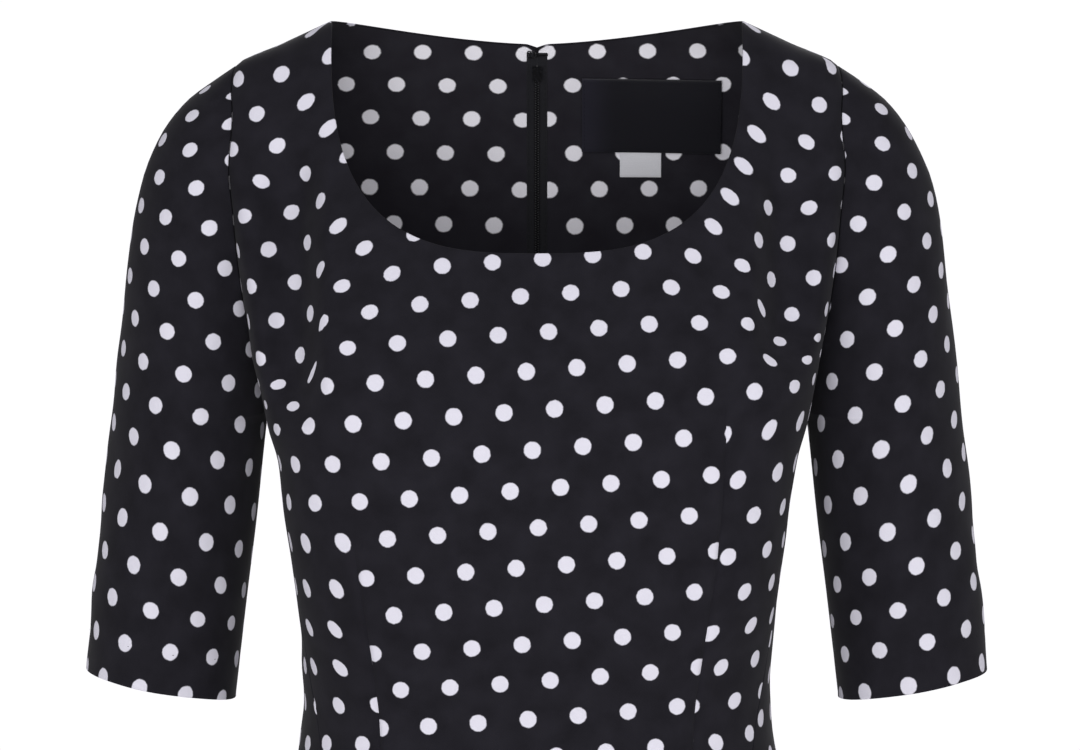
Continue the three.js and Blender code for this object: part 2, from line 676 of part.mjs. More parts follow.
// The hook's strip, seen from above: along the cloth, over the eye's bar and back through it.
function hookStrip() {
  const { thickness, width, length, tip } = HOOK;
  const cloth = -(WALL + SEAM_GAP);
  const bar = EYE.out + EYE.radius;
  const clear = EYE.wire + HOOK.clearance;
  const over = cloth - 2 * EYE.wire - SEAM_GAP;
  const outline = new THREE.Shape([
    [bar + clear, cloth],
    [bar + clear + length, cloth],
    [bar + clear + length, cloth - thickness],
    [bar + clear + thickness, cloth - thickness],
    [bar + clear + thickness, over - thickness],
    [bar - clear - thickness, over - thickness],
    [bar - clear - thickness, over + tip],
    [bar - clear, over + tip],
    [bar - clear, over],
    [bar + clear, over],
  ].map(([x, y]) => new THREE.Vector2(x, y)));
  const strip = new THREE.ExtrudeGeometry(outline, { depth: width, bevelEnabled: false });
  return sub('hook', strip.translate(0, 0, -width / 2), blackMetal());
}

const zipEnd = centreBackFrame(SLIDER.drop);
zipEnd.add(zipSlider(), pullTab());
const neckFastening = centreBackFrame(EYE.drop);
neckFastening.add(eyeLoop(), hookStrip());

const dress = new THREE.Group();
dress.add(frontPanel());
dress.add(backPanel('back_left', 1), backPanel('back_right', -1));
dress.add(sleeve('sleeve_left', 1), sleeve('sleeve_right', -1));
dress.add(ventUnderlap());
dress.add(zipTapeStrip('zip_tape_left', 1), zipTapeStrip('zip_tape_right', -1));
dress.add(neckLabel(), sizeTab());
dress.add(zipEnd, neckFastening);

export default dress;
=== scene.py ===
from math import cos, pi, radians, sin

import bmesh
import bpy
import numpy as np
from mathutils import Matrix, Vector
from mathutils.kdtree import KDTree


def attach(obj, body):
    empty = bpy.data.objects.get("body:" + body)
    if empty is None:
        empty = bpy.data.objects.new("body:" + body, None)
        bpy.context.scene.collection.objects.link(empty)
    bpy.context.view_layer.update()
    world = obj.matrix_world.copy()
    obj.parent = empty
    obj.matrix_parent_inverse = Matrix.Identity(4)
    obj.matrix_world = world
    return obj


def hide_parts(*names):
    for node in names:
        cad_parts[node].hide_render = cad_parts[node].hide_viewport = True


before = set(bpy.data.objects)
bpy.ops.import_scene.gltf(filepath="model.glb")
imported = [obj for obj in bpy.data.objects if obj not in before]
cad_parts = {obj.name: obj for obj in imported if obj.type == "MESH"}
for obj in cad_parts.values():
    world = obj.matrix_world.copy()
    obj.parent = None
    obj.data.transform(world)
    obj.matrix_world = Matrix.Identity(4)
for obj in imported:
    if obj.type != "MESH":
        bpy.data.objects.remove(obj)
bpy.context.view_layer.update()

print("frame loaded")


def linearColour(code):
    # an sRGB hex colour as linear red, green, blue and opacity
    shares = [int(code[i:i + 2], 16) / 255 for i in (1, 3, 5)]
    return (*[s / 12.92 if s <= 0.04045 else ((s + 0.055) / 1.055) ** 2.4 for s in shares], 1)


def newMaterial(name):
    material = bpy.data.materials.new(name)
    material.use_nodes = True
    material.node_tree.nodes.clear()
    return material


def addNode(material, kind, values=None, links=None, **settings):
    node = material.node_tree.nodes.new("ShaderNode" + kind)
    for name, value in settings.items():
        setattr(node, name, value)
    for socket, value in (values or {}).items():
        node.inputs[socket].default_value = value
    for socket, source in (links or {}).items():
        material.node_tree.links.new(source, node.inputs[socket])
    return node


def mixedColour(material, first, second, share):
    mix = addNode(material, "Mix", {6: linearColour(first), 7: linearColour(second)}, {0: share},
                  data_type="RGBA")
    return mix.outputs[2]


def surfaced(material, values, links):
    shader = addNode(material, "BsdfPrincipled", values, links)
    addNode(material, "OutputMaterial", links={0: shader.outputs[0]})
    return material


viewpoint = {"target": (0.0018, 0, -0.2086), "distance": 4.5, "degreesAbove": 6, "lens": 254}


def placeCamera():
    rise = radians(viewpoint["degreesAbove"])
    target = Vector(viewpoint["target"])
    camera = bpy.data.objects.new("camera", bpy.data.cameras.new("camera"))
    camera.location = target + viewpoint["distance"] * Vector((0, -cos(rise), sin(rise)))
    camera.rotation_euler = (target - camera.location).to_track_quat("-Z", "Y").to_euler()
    camera.data.lens = viewpoint["lens"]
    camera.data.sensor_width = 36
    camera.data.clip_end = 60
    bpy.context.collection.objects.link(camera)
    bpy.context.scene.camera = camera


softLights = {
    "front": {"at": (-0.4, -4.0, 0.1), "towards": (0, 0, -0.3), "width": 2.8, "watts": 110},
    "side": {"at": (3.2, -1.6, 0.8), "towards": (0, 0, -0.4), "width": 2.0, "watts": 14},
    "behind": {"at": (0.6, 3.4, 1.6), "towards": (0, 0, -0.5), "width": 2.6, "watts": 70},
}
# wallEdge and wallFull are cosines of the angle from the middle of the lit wall.
roomLight = {"ambient": 0.5, "farWall": 1.05, "colour": "#fdfcff",
             "wallMiddle": (0, 0.9945, -0.1045), "wallEdge": 0.86, "wallFull": 0.985}


def hangLights():
    for name, light in softLights.items():
        lamp = bpy.data.objects.new(name, bpy.data.lights.new(name, "AREA"))
        lamp.data.size = light["width"]
        lamp.data.energy = light["watts"]
        lamp.location = light["at"]
        aim = Vector(light["towards"]) - lamp.location
        lamp.rotation_euler = aim.to_track_quat("-Z", "Y").to_euler()
        bpy.context.collection.objects.link(lamp)
    # a pale room whose far wall, behind the dress, is lit to white
    room = bpy.data.worlds.new("paleRoom")
    room.use_nodes = True
    room.node_tree.nodes.clear()
    towards = addNode(room, "TexCoord")
    facing = addNode(room, "VectorMath", {1: roomLight["wallMiddle"]},
                     {0: towards.outputs["Generated"]}, operation="DOT_PRODUCT")
    farWall = addNode(
        room, "MapRange",
        {"From Min": roomLight["wallEdge"], "From Max": roomLight["wallFull"],
         "To Min": roomLight["ambient"], "To Max": roomLight["farWall"]},
        {"Value": facing.outputs["Value"]}, interpolation_type="SMOOTHSTEP")
    light = addNode(room, "Background", {"Color": linearColour(roomLight["colour"])},
                    {"Strength": farWall.outputs[0]})
    addNode(room, "OutputWorld", links={"Surface": light.outputs[0]})
    bpy.context.scene.world = room
    bpy.context.scene.view_settings.view_transform = "Standard"


# Discharge-printed cotton with a little elastane: a plain weave with almost no gloss, whose
# round dots have slightly soft edges where the print spreads along the threads.
printedCotton = {
    "ground": "#17161b", "groundWorn": "#1f1e24", "dot": "#d5d3de", "dotThin": "#cbc9d4",
    "dotRadius": 5.1, "dotSoftness": 0.45, "dotStep": 30.5, "rowStep": 23.45, "spread": 0.9,
    "threadStep": 1.0,  # the real threads lie 0.35 mm apart, too fine to show
    "threadHeight": 0.05, "roughness": 0.88,
}
# The wrong side of the same cloth, with a softer edge to the print. Its paler ground and whiter dots
# are painted light, set lighter than the face's to stand in for light that the inside of the back
# doesn't get.
printedCottonReversePaintedLight = {
    **printedCotton,
    "ground": "#211f25", "groundWorn": "#28272d", "dot": "#f6f4fb", "dotThin": "#eae8f0",
    "dotSoftness": 0.6,
}


def cottonMaterial(name, cotton):
    material = newMaterial(name)
    step, row = cotton["dotStep"], cotton["rowStep"]
    threads = addNode(material, "UVMap", uv_map="cloth")
    mm = addNode(material, "VectorMath", {"Scale": 1000}, {0: threads.outputs[0]}, operation="SCALE")
    # the print's uneven edge
    spread = addNode(material, "TexNoise", {"Scale": 0.45, "Detail": 3}, {"Vector": mm.outputs[0]})
    centred = addNode(material, "VectorMath", {1: (0.5, 0.5, 0.5)}, {0: spread.outputs["Color"]},
                      operation="SUBTRACT")
    moved = addNode(material, "VectorMath", {1: (cotton["spread"], cotton["spread"], 0)},
                    {0: centred.outputs[0], 2: mm.outputs[0]}, operation="MULTIPLY_ADD")
    # two grids of dots, each halfway between the other's
    distances = []
    for shift in ((0, 0, 0), (step / 2, row, 0)):
        slid = addNode(material, "VectorMath", {1: shift}, {0: moved.outputs[0]}, operation="ADD")
        cell = addNode(material, "VectorMath", {1: (step / 2, row, 1), 2: (-step / 2, -row, -1)},
                       {0: slid.outputs[0]}, operation="WRAP")
        length = addNode(material, "VectorMath", links={0: cell.outputs[0]}, operation="LENGTH")
        distances.append(length.outputs["Value"])
    nearest = addNode(material, "Math", links={0: distances[0], 1: distances[1]}, operation="MINIMUM")
    radius, soft = cotton["dotRadius"], cotton["dotSoftness"]
    inDot = addNode(material, "MapRange",
                    {"From Min": radius - soft, "From Max": radius + soft, "To Min": 1, "To Max": 0},
                    {"Value": nearest.outputs[0]}, interpolation_type="SMOOTHSTEP")
    # threads over and under each other
    parts = addNode(material, "SeparateXYZ", links={0: mm.outputs[0]})
    waves = []
    for socket in (0, 1):
        phase = addNode(material, "Math", {1: pi / cotton["threadStep"]}, {0: parts.outputs[socket]},
                        operation="MULTIPLY")
        wave = addNode(material, "Math", links={0: phase.outputs[0]}, operation="SINE")
        waves.append(wave.outputs[0])
    weave = addNode(material, "Math", links={0: waves[0], 1: waves[1]}, operation="MULTIPLY")
    slub = addNode(material, "TexNoise", {"Scale": 1.6, "Detail": 3}, {"Vector": mm.outputs[0]})
    height = addNode(material, "Math", {1: 0.35}, {0: weave.outputs[0], 2: slub.outputs[0]},
                     operation="MULTIPLY_ADD")
    bump = addNode(material, "Bump", {"Strength": 0.5, "Distance": cotton["threadHeight"] / 1000},
                   {"Height": height.outputs[0]})
    # dye that is a little uneven
    dye = addNode(material, "TexNoise", {"Scale": 0.05, "Detail": 5}, {"Vector": mm.outputs[0]})
    uneven = addNode(material, "MapRange", {"From Min": 0.3, "From Max": 0.7},
                     {"Value": dye.outputs[0]})
    ground = mixedColour(material, cotton["ground"], cotton["groundWorn"], uneven.outputs[0])
    dot = mixedColour(material, cotton["dot"], cotton["dotThin"], slub.outputs[0])
    colour = addNode(material, "Mix", links={0: inDot.outputs[0], 6: ground, 7: dot}, data_type="RGBA")
    return surfaced(
        material,
        {"Roughness": cotton["roughness"], "Specular IOR Level": 0.08, "Sheen Weight": 0.03,
         "Sheen Roughness": 0.5},
        {"Base Color": colour.outputs[2], "Normal": bump.outputs[0]})


# Woven polyester ribbon: fine ribs across it, with the gloss of its yarn.
wovenRibbons = {
    "zipTape": {"main": "#151519", "second": "#1d1d22", "ribStep": 1.2, "ribHeight": 0.08,
                "roughness": 0.7, "gloss": 0.2, "sheen": 0.1},
    "labelSatin": {"main": "#131318", "second": "#17161d", "ribStep": 0.9, "ribHeight": 0.03,
                   "roughness": 0.42, "gloss": 0.3, "sheen": 0.1},
    "whiteTape": {"main": "#e3e3e8", "second": "#d3d3da", "ribStep": 1.1, "ribHeight": 0.05,
                  "roughness": 0.75, "gloss": 0.3, "sheen": 0.1},
}


# Painted highlight: the label's end by the centre back is painted lighter, for the satin catching the
# light. Distances are from the centre back.
labelPaintedHighlight = {"full": 28, "none": 48, "colour": "#201f29"}


def ribbonMaterial(name, paintedHighlightEnd=None):
    ribbon = wovenRibbons[name]
    material = newMaterial(name)
    threads = addNode(material, "UVMap", uv_map="cloth")
    mm = addNode(material, "VectorMath", {"Scale": 1000}, {0: threads.outputs[0]}, operation="SCALE")
    parts = addNode(material, "SeparateXYZ", links={0: mm.outputs[0]})
    phase = addNode(material, "Math", {1: 2 * pi / ribbon["ribStep"]}, {0: parts.outputs[1]},
                    operation="MULTIPLY")
    rib = addNode(material, "Math", links={0: phase.outputs[0]}, operation="SINE")
    yarn = addNode(material, "TexNoise", {"Scale": 1.4, "Detail": 4}, {"Vector": mm.outputs[0]})
    height = addNode(material, "Math", {1: 0.4}, {0: rib.outputs[0], 2: yarn.outputs[0]},
                     operation="MULTIPLY_ADD")
    bump = addNode(material, "Bump", {"Strength": 0.6, "Distance": ribbon["ribHeight"] / 1000},
                   {"Height": height.outputs[0]})
    colour = mixedColour(material, ribbon["main"], ribbon["second"], yarn.outputs[0])
    # a painted highlight: the colour turns lighter towards one end of the ribbon
    if paintedHighlightEnd:
        share = addNode(
            material, "MapRange",
            {"From Min": paintedHighlightEnd["full"], "From Max": paintedHighlightEnd["none"], "To Min": 1, "To Max": 0},
            {"Value": parts.outputs[0]}, interpolation_type="SMOOTHSTEP")
        colour = addNode(material, "Mix", {7: linearColour(paintedHighlightEnd["colour"])},
                         {0: share.outputs[0], 6: colour}, data_type="RGBA").outputs[2]
    return surfaced(
        material,
        {"Roughness": ribbon["roughness"], "Specular IOR Level": ribbon["gloss"],
         "Sheen Weight": ribbon["sheen"]},
        {"Base Color": colour, "Normal": bump.outputs[0]})


# Hard parts by their finish. Stoved black enamel on brass is smooth with a faint orange peel
# and rubs thin in places. Nylon coil is moulded and a little waxy. Thread is spun polyester.
hardFinishes = {
    "blackEnamel": {"main": "#0d0d0f", "worn": "#34343a", "grain": 900, "height": 0.01,
                    "roughness": 0.34, "gloss": 0.5, "coat": 0.35},
    "nylonCoil": {"main": "#0f0f12", "worn": "#1c1c21", "grain": 1500, "height": 0.02,
                  "roughness": 0.5, "gloss": 0.35, "coat": 0},
    "blackThread": {"main": "#121216", "worn": "#202026", "grain": 2500, "height": 0.05,
                    "roughness": 0.8, "gloss": 0.2, "coat": 0},
}


def hardMaterial(name):
    finish = hardFinishes[name]
    material = newMaterial(name)
    place = addNode(material, "TexCoord")
    grain = addNode(material, "TexNoise", {"Scale": finish["grain"], "Detail": 4},
                    {"Vector": place.outputs["Object"]})
    rubbed = addNode(material, "MapRange", {"From Min": 0.55, "From Max": 0.75},
                     {"Value": grain.outputs[0]})
    colour = mixedColour(material, finish["main"], finish["worn"], rubbed.outputs[0])
    bump = addNode(material, "Bump", {"Strength": 0.4, "Distance": finish["height"] / 1000},
                   {"Height": grain.outputs[0]})
    return surfaced(
        material,
        {"Roughness": finish["roughness"], "Specular IOR Level": finish["gloss"],
         "Coat Weight": finish["coat"], "Coat Roughness": 0.2},
        {"Base Color": colour, "Normal": bump.outputs[0]})


paleFloor = {"drop": 1.3, "radius": 3.2, "main": "#e9e8e6", "second": "#e2e1df"}


def layFloor():
    material = newMaterial("paintedFloor")  # matt paint, rolled on
    place = addNode(material, "TexCoord")
    roller = addNode(material, "TexNoise", {"Scale": 40, "Detail": 3},
                     {"Vector": place.outputs["Object"]})
    colour = mixedColour(material, paleFloor["main"], paleFloor["second"], roller.outputs[0])
    surfaced(material, {"Roughness": 0.9}, {"Base Color": colour})
    bm = bmesh.new()
    bmesh.ops.create_circle(bm, cap_ends=True, segments=96, radius=paleFloor["radius"])
    bmesh.ops.translate(bm, verts=bm.verts, vec=(0, 0, -paleFloor["drop"]))
    floor = finishedPiece("floor", bm, [material])


# A drop is a distance below the neck points. An angle runs round the body from the centre
# front, 0, through the wearer's left side, 90 degrees, to the centre back, 180.


def tableOf(names, rows):
    return dict(zip(names.split(), np.array(rows, float).T))


bodySections = tableOf("drop halfWidth side front back frontCorner backCorner", [
    (0, 121.5, 8, 30, 50, 3.0, 2.2),
    (13, 149.5, 8, 35, 56, 3.2, 2.3),
    (26, 177, 8, 40, 63, 3.4, 2.4),
    (44, 184, 8, 49, 73, 3.7, 2.5),
    (75, 186, 8, 66, 89, 4.0, 2.7),
    (111, 180, 8, 90, 102, 4.2, 2.8),
    (158, 172.5, 7, 116, 114, 4.8, 2.9),
    (190, 166.5, 6, 129, 117, 5.0, 2.8),
    (230, 158.5, 5, 135, 119, 5.0, 2.7),
    (252, 152.5, 4, 134, 117, 5.0, 2.6),
    (294, 147, 3, 129, 109, 4.6, 2.5),
    (341, 141, 1, 122, 94, 4.0, 2.4),
    (370, 138.5, 0, 117, 86, 3.5, 2.4),
    (400, 138, -2, 110, 82, 3.1, 2.3),
    (430, 141.5, -2, 110, 87, 2.8, 2.3),
    (480, 153, -1, 114, 101, 2.6, 2.3),
    (540, 168, 0, 119, 118, 2.5, 2.3),
    (600, 177, 0, 120, 127, 2.5, 2.3),
    (680, 178, 0, 118, 125, 2.5, 2.3),
    (800, 169, 0, 115, 115, 2.4, 2.3),
    (920, 158, 0, 113, 109, 2.4, 2.3),
    (1040, 149, 0, 112, 107, 2.4, 2.3),
])
sideSeam = tableOf("drop degrees", [
    (230, 90), (300, 77), (353, 67), (395, 64), (430, 61), (520, 60), (700, 64), (1040, 72),
])
neckline = {"frontHalf": 120.5, "frontDepth": 128, "corner": 3, "backHalf": 117, "backTop": 1,
            "backDepth": 15.8, "backCurve": 1.6}
armhole = {"middle": 128, "halfHeight": 102, "front": 46, "back": 56}
armholeTop = armhole["middle"] - armhole["halfHeight"]
armholeBottom = armhole["middle"] + armhole["halfHeight"]
hemDrop = 1040

# Beside the bust the cloth steps back towards the armhole.
chestSteps = {
    1: {"top": 62, "full": 115, "ease": 165, "bottom": 208,
        "inside": 122, "outside": 142, "depth": 22},
    -1: {"top": 55, "full": 108, "ease": 190, "bottom": 238,
         "inside": 120, "outside": 140, "depth": 25},
}


def track(table, column):
    # a smooth line through a table's rows that never overshoots them, level past its ends
    drops, values = table["drop"], table[column]
    rate = np.diff(values) / np.diff(drops)
    slope = np.concatenate(([rate[0]], np.zeros(len(drops) - 2), [rate[-1]]))
    product, total = rate[:-1] * rate[1:], rate[:-1] + rate[1:]
    sameWay = product > 0
    slope[1:-1][sameWay] = 2 * product[sameWay] / total[sameWay]

    def valueAt(drop):
        at = np.clip(drop, drops[0], drops[-1])
        i = np.clip(np.searchsorted(drops, at) - 1, 0, len(drops) - 2)
        span = drops[i + 1] - drops[i]
        t = (at - drops[i]) / span
        s = 1 - t
        ends = values[i] * (1 + 2 * t) * s * s + values[i + 1] * (3 - 2 * t) * t * t
        return ends + span * (slope[i] * t * s * s - slope[i + 1] * t * t * s)

    return valueAt


def ramp(value, start, end):
    t = np.clip((value - start) / (end - start), 0, 1)
    return t * t * (3 - 2 * t)


halfWidthAt = track(bodySections, "halfWidth")
sideAt = track(bodySections, "side")
frontAt = track(bodySections, "front")
backAt = track(bodySections, "back")
frontCornerAt = track(bodySections, "frontCorner")
backCornerAt = track(bodySections, "backCorner")
sideSeamAt = track(sideSeam, "degrees")


def sectionAt(drop, isFront):
    if isFront:
        return halfWidthAt(drop), frontAt(drop), frontCornerAt(drop)
    return halfWidthAt(drop), backAt(drop), backCornerAt(drop)


def depthAtOut(out, section):
    width, depth, corner = section
    return depth * (1 - np.minimum(1, out / width) ** corner) ** (1 / corner)


def outAtDepth(reach, section):
    width, depth, corner = section
    return width * (1 - np.minimum(1, reach / depth) ** corner) ** (1 / corner)


def chestStep(x, drop):
    inward = np.zeros(np.broadcast(x, drop).shape)
    for side, step in chestSteps.items():
        out = side * x
        along = ramp(drop, step["top"], step["full"])
        along = along * (1 - ramp(drop, step["ease"], step["bottom"]))
        across = ramp(out, step["inside"], step["outside"])
        # it eases out again before the side
        easedBy = np.maximum(halfWidthAt(drop) - 2, step["outside"] + 6)
        easing = 1 - ramp(out, step["outside"] + 5, easedBy)
        inward += step["depth"] * along * across * easing
    return inward


def bodyPoint(angle, drop):
    # a point on the outside of the cloth, without its creases
    angle, drop = np.broadcast_arrays(np.asarray(angle, float), np.asarray(drop, float))
    isFront = np.abs(angle) <= pi / 2
    depth = np.where(isFront, frontAt(drop), backAt(drop))
    corner = np.where(isFront, frontCornerAt(drop), backCornerAt(drop))
    across = np.abs(np.sin(angle)) / halfWidthAt(drop)
    along = np.abs(np.cos(angle)) / depth
    reach = (across ** corner + along ** corner) ** (-1 / corner)
    x = reach * np.sin(angle)
    y = sideAt(drop) - reach * np.cos(angle) + np.where(isFront, chestStep(x, drop), 0)
    return np.stack([x, y, -drop], axis=-1)


def unit(vectors):
    return vectors / np.maximum(np.linalg.norm(vectors, axis=-1, keepdims=True), 1e-12)


def bodyNormal(angle, drop):
    turn, fall = 0.004, 0.6
    drop = np.asarray(drop, float)
    across = bodyPoint(angle + turn, drop) - bodyPoint(angle - turn, drop)
    down = bodyPoint(angle, drop + fall) - bodyPoint(angle, np.maximum(0.01, drop - fall))
    return unit(-np.cross(across, down))


def frontNeckAngle(drop):
    depth, corner = neckline["frontDepth"], neckline["corner"]
    if drop >= depth:
        return 0.0
    out = neckline["frontHalf"] * (1 - (drop / depth) ** corner) ** (1 / corner)
    return float(np.arctan2(out, depthAtOut(out, sectionAt(drop, True))))


def backNeckAngle(drop):
    # above backTop the neck edge runs on to the end of the shoulder seam
    section = sectionAt(drop, False)
    if drop < neckline["backTop"]:
        ridge = sectionAt(0, False)[0]
        out = ridge + (neckline["backHalf"] - ridge) * drop / neckline["backTop"]
        return float(pi - np.arctan2(out, depthAtOut(out, section)))
    share = np.clip(1 - (drop - neckline["backTop"]) / neckline["backDepth"], 0, 1)
    out = neckline["backHalf"] * share ** (1 / neckline["backCurve"])
    return float(pi - np.arctan2(out, depthAtOut(out, section)))


def armholeReach(drop, isFront):
    rise = (armhole["middle"] - drop) / armhole["halfHeight"]
    deepest = armhole["front"] if isFront else armhole["back"]
    return deepest * np.sqrt(np.maximum(0, 1 - rise * rise))


def outerAngle(drop, isFront):
    if drop <= armholeTop:
        return pi / 2
    if drop >= armholeBottom:
        return float(np.radians(sideSeamAt(drop)))
    reach = armholeReach(drop, isFront)
    angle = float(np.arctan2(outAtDepth(reach, sectionAt(drop, isFront)), reach))
    return angle if isFront else pi - angle


edgeSteps = np.array([0, 0.15, 0.4, 0.7, 1.0, 1.7, 3.0])  # close rows where an edge rolls
seamRoll = 0.8  # the roll's radius
wall = 1.3  # the cloth's thickness


def spaced(length, count, fineStart, fineEnd):
    # count steps along a length, drawn together at a fine start or end (0 plain, 1 fine)
    fine = edgeSteps * min(1, length / 14)

    def layout(head, tail):
        start = fine if head else fine[:1]
        stop = length - (fine[::-1] if tail else fine[:1])
        middle = np.linspace(start[-1], stop[0], count + 3 - len(start) - len(stop))
        return np.concatenate([start, middle[1:-1], stop])

    atStart = (1 - fineStart) * layout(False, False) + fineStart * layout(True, False)
    atBoth = (1 - fineStart) * layout(False, True) + fineStart * layout(True, True)
    return (1 - fineEnd) * atStart + fineEnd * atBoth


def arcLengths(points):
    return np.concatenate([[0], np.cumsum(np.linalg.norm(np.diff(points, axis=0), axis=1))])


def borderDistance(points, lines):
    # how far each point of a grid is from the nearest of some lines of points
    flat = points.reshape(-1, 3)
    nearest = np.full(len(flat), 1000.0)
    for line in lines:
        tree = KDTree(len(line))
        for i, place in enumerate(line):
            tree.insert(place, i)
        tree.balance()
        found = np.array([tree.find(place)[1] for place in flat])
        for step in (-1, 0):
            start = np.clip(found + step, 0, len(line) - 2)
            along = line[start + 1] - line[start]
            share = ((flat - line[start]) * along).sum(1) / np.maximum((along ** 2).sum(1), 1e-9)
            foot = line[start] + np.clip(share, 0, 1)[:, None] * along
            nearest = np.minimum(nearest, np.linalg.norm(flat - foot, axis=1))
    return nearest.reshape(points.shape[:2])


def edgeDip(distance, radius):
    # an edge turns down through a quarter of a circle
    inside = np.clip(1 - distance / radius, 0, 1)
    return radius * (1 - np.sqrt(1 - inside ** 2))


def foldDips(across, drop, folds):
    # soft troughs, or ridges where the depth is negative, along short lines
    dips = np.zeros_like(across)
    for fromOut, fromDrop, toOut, toDrop, width, depth in folds:
        alongOut, alongDrop = toOut - fromOut, toDrop - fromDrop
        share = (across - fromOut) * alongOut + (drop - fromDrop) * alongDrop
        share = np.clip(share / (alongOut ** 2 + alongDrop ** 2), 0, 1)
        away = np.hypot(across - fromOut - share * alongOut, drop - fromDrop - share * alongDrop)
        dips += depth * np.exp(-(away / width) ** 2) * np.sin(pi * share) ** 0.8
    return dips


def unevenness(across, drop, seed, height=0.16):
    # the slight waves of cloth that was pressed and then worn
    choose = np.random.default_rng(seed)
    total = np.zeros_like(across)
    for _ in range(8):
        length, turn = choose.uniform(30, 90), choose.uniform(0, pi)
        start = choose.uniform(0, 2 * pi)
        total += np.sin(2 * pi * (across * np.cos(turn) + drop * np.sin(turn)) / length + start)
    return height * total


def layGrid(bm, points, facing, cloth, beyond=None, split=None):
    # a grid on rows of points; the UV map follows the cloth's own threads, and jumps past a dart
    rows, columns = points.shape[:2]
    verts = bmesh.ops.create_grid(bm, x_segments=columns - 1, y_segments=rows - 1, size=1)["verts"]
    threads = bm.loops.layers.uv.get("cloth") or bm.loops.layers.uv.new("cloth")
    place = {}
    for vert in verts:
        row, column = (vert.co.y + 1) / 2 * (rows - 1), (vert.co.x + 1) / 2 * (columns - 1)
        place[vert] = (round(row), round(column))
    faces = list({face for vert in verts for face in vert.link_faces})
    for face in faces:
        past = split is not None and sum(place[vert][1] for vert in face.verts) > 4 * split
        for loop in face.loops:
            loop[threads].uv = (beyond if past else cloth)[place[loop.vert]] / 1000
    for vert, at in place.items():
        vert.co = points[at] / 1000
    middle = next(vert for vert, at in place.items() if at == (rows // 2, columns // 2))
    middle.link_faces[0].normal_update()
    if middle.link_faces[0].normal.dot(Vector(facing[rows // 2, columns // 2])) < 0:
        bmesh.ops.reverse_faces(bm, faces=faces)


def finishedPiece(name, bm, materials):
    mesh = bpy.data.meshes.new(name)
    bm.to_mesh(mesh)
    bm.free()
    mesh.polygons.foreach_set("use_smooth", [True] * len(mesh.polygons))
    for material in materials:
        mesh.materials.append(material)
    piece = bpy.data.objects.new(name, mesh)
    bpy.context.collection.objects.link(piece)
    return piece


def clothPiece(name, bm, materials, thickness, edge=0):
    bmesh.ops.remove_doubles(bm, verts=bm.verts, dist=2e-6)
    piece = finishedPiece(name, bm, materials)
    layers = piece.modifiers.new("thickness", "SOLIDIFY")
    layers.thickness = thickness / 1000
    layers.offset = -1
    layers.material_offset = len(materials) - 1
    if edge:
        softened = piece.modifiers.new("softened", "BEVEL")
        softened.width = edge / 1000
        softened.segments = 2
        softened.limit_method = "ANGLE"
    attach(piece, "dress")
    return piece


def flatArea(points):
    across = np.linalg.norm(np.diff(points, axis=1), axis=2)
    down = np.linalg.norm(np.diff(points, axis=0), axis=2)
    return float(((across[1:] + across[:-1]) / 2 * (down[:, 1:] + down[:, :-1]) / 2).sum()) / 1e6


frontPanel = {
    "columns": (38, 36), "rowStep": 5.5, "dartDepth": 1.3, "dartHalf": 2.6, "calm": (2, 26),
    "seed": 11,
    "dart": tableOf("drop out", [(236, 109), (300, 105), (350, 98), (400, 92), (520, 88)]),
    # the worn dress turns a little, so its left and right darts take up cloth at different drops
    "intake": {
        1: tableOf("drop width", [
            (215, 0), (236, 8), (277, 17), (321, 25), (369, 43), (405, 50), (460, 28), (520, 0)]),
        -1: tableOf("drop width", [
            (284, 0), (306, 5), (330, 12), (350, 22), (376, 38), (396, 45), (416, 46), (460, 28),
            (520, 0)]),
    },
    "folds": [
        (150, 218, 92, 262, 9, 0.9), (-150, 244, -94, 280, 9, 0.9), (138, 262, 104, 300, 8, 0.7),
        (-120, 150, -128, 218, 7, 0.8), (124, 140, 130, 200, 7, 0.8),
        (-62, 382, 44, 396, 10, 0.6), (-10, 416, 86, 404, 9, 0.5), (-84, 402, -20, 420, 8, 0.5),
        (40, 300, 66, 372, 14, -0.7), (-44, 296, -70, 366, 14, -0.7),
        (-72, 520, -92, 720, 22, 1.2), (62, 540, 86, 760, 24, 1.2),
        (-100, 840, -106, 1060, 26, 2.4), (0, 870, 6, 1060, 32, 1.8), (96, 850, 102, 1060, 26, 2.2),
        (-50, 900, -50, 1060, 24, -1.6), (52, 900, 52, 1060, 24, -1.6),
    ],
}
backPanel = {
    "columns": (36, 36), "rowStep": 5.5, "dartDepth": 1.3, "dartHalf": 2.6, "calm": (2, 26),
    "seed": 23,
    "dart": tableOf("drop out", [(255, 84), (400, 78), (540, 76)]),
    "intake": {side: tableOf("drop width", [(255, 0), (320, 14), (400, 30), (470, 16), (540, 0)])
               for side in (1, -1)},
    "folds": [
        (96, 384, 14, 398, 8, 1.1), (-96, 390, -12, 402, 8, 1.1), (104, 416, 30, 424, 9, 0.9),
        (-104, 420, -24, 428, 9, 0.9), (118, 356, 60, 372, 8, 0.7), (-118, 352, -64, 370, 8, 0.7),
        (150, 196, 104, 236, 10, 1.0), (-150, 200, -104, 240, 10, 1.0),
        (92, 130, 112, 214, 12, 0.8), (-92, 134, -112, 210, 12, 0.8),
        (120, 640, 34, 668, 12, 1.2), (-118, 646, -30, 672, 12, 1.2), (90, 700, 22, 716, 13, 0.9),
        (-92, 704, -24, 722, 13, 0.9),
        (70, 800, 76, 1060, 28, 2.2), (-70, 800, -76, 1060, 28, 2.2),
        (122, 860, 128, 1060, 22, -1.8), (-122, 860, -128, 1060, 22, -1.8),
    ],
}
# The zip parts round the slider's bridge, and at the top the neck edge dips in a small V.
centreBack = {"gap": -0.05, "gapReach": 5, "bridge": 0.7, "bridgeFrom": 30.2, "bridgeTo": 35.8,
              "ease": 1.2, "notch": 2.2, "notchReach": 3.5, "notchFrom": 15, "notchEnd": 23}


